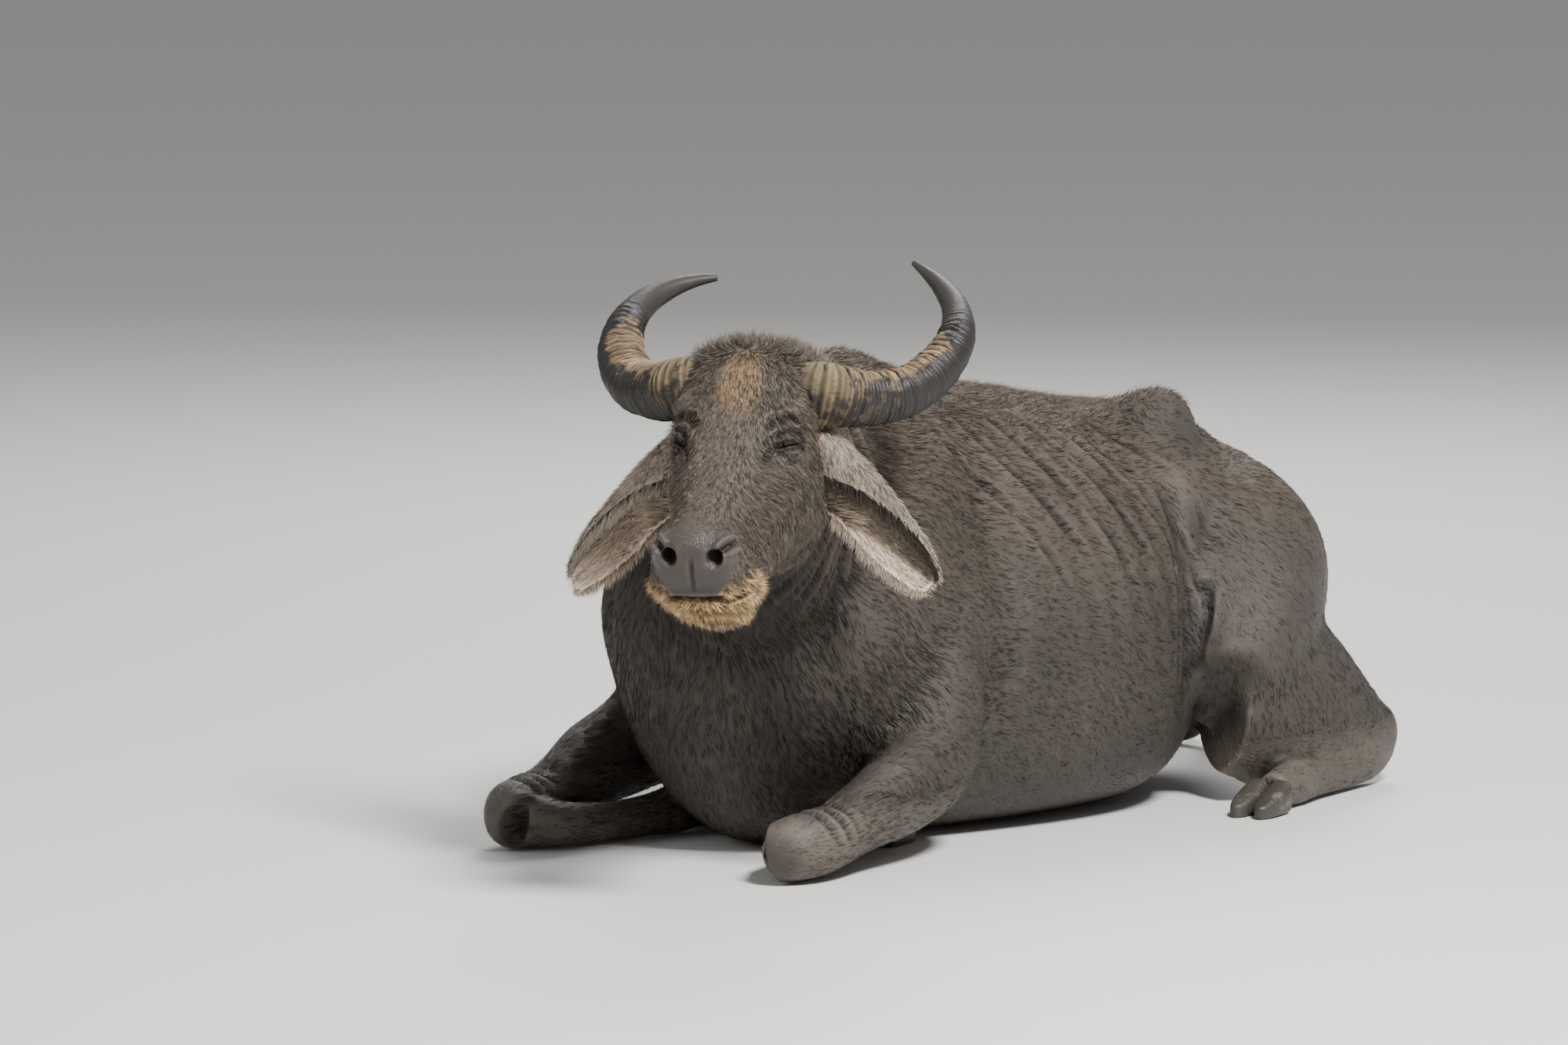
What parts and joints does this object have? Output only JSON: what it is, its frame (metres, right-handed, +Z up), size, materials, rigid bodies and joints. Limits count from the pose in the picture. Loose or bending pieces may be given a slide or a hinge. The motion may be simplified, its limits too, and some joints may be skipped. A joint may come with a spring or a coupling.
{
  "type": "resting water buffalo figure",
  "caption": "Life-size still figure of a grown water buffalo lying on its chest, head raised and turned, eyes nearly shut, with ridged crescent horns and drooping ears.",
  "frame": {"origin": "on the floor, in the middle of the flat under the belly", "axes": "the animal lies along Y and faces -Y, its left side is +X, +Z is up and the floor is z = 0"},
  "size_m": [1.0514, 2.1041, 0.9864],
  "materials": {
    "wet_hide": "dark grey-brown hide with a thin short coat, damp",
    "ear_hide": "paler hairy hide, dry",
    "eye": "wet, nearly black",
    "horn": "ridged grey-black horn, smooth at the tips, dried mud on the inner faces",
    "hoof": "worn dark horn"
  },
  "bodies": {
    "root": {"torso": "wet_hide", "neck": "wet_hide", "head": "wet_hide", "tail": "wet_hide", "tail_switch": "wet_hide", "foreleg_left": "wet_hide", "foreleg_right": "wet_hide", "hindleg_left": "wet_hide", "hindleg_right": "wet_hide", "ear_left": "ear_hide", "ear_right": "ear_hide", "eye_left": "eye", "eye_right": "eye", "horn_left": "horn", "horn_right": "horn", "hoof_front_left_inner": "hoof", "hoof_front_left_outer": "hoof", "hoof_front_right_inner": "hoof", "hoof_front_right_outer": "hoof", "hoof_rear_left_inner": "hoof", "hoof_rear_left_outer": "hoof", "hoof_rear_right_inner": "hoof", "hoof_rear_right_outer": "hoof"}
  },
  "joints": []
}
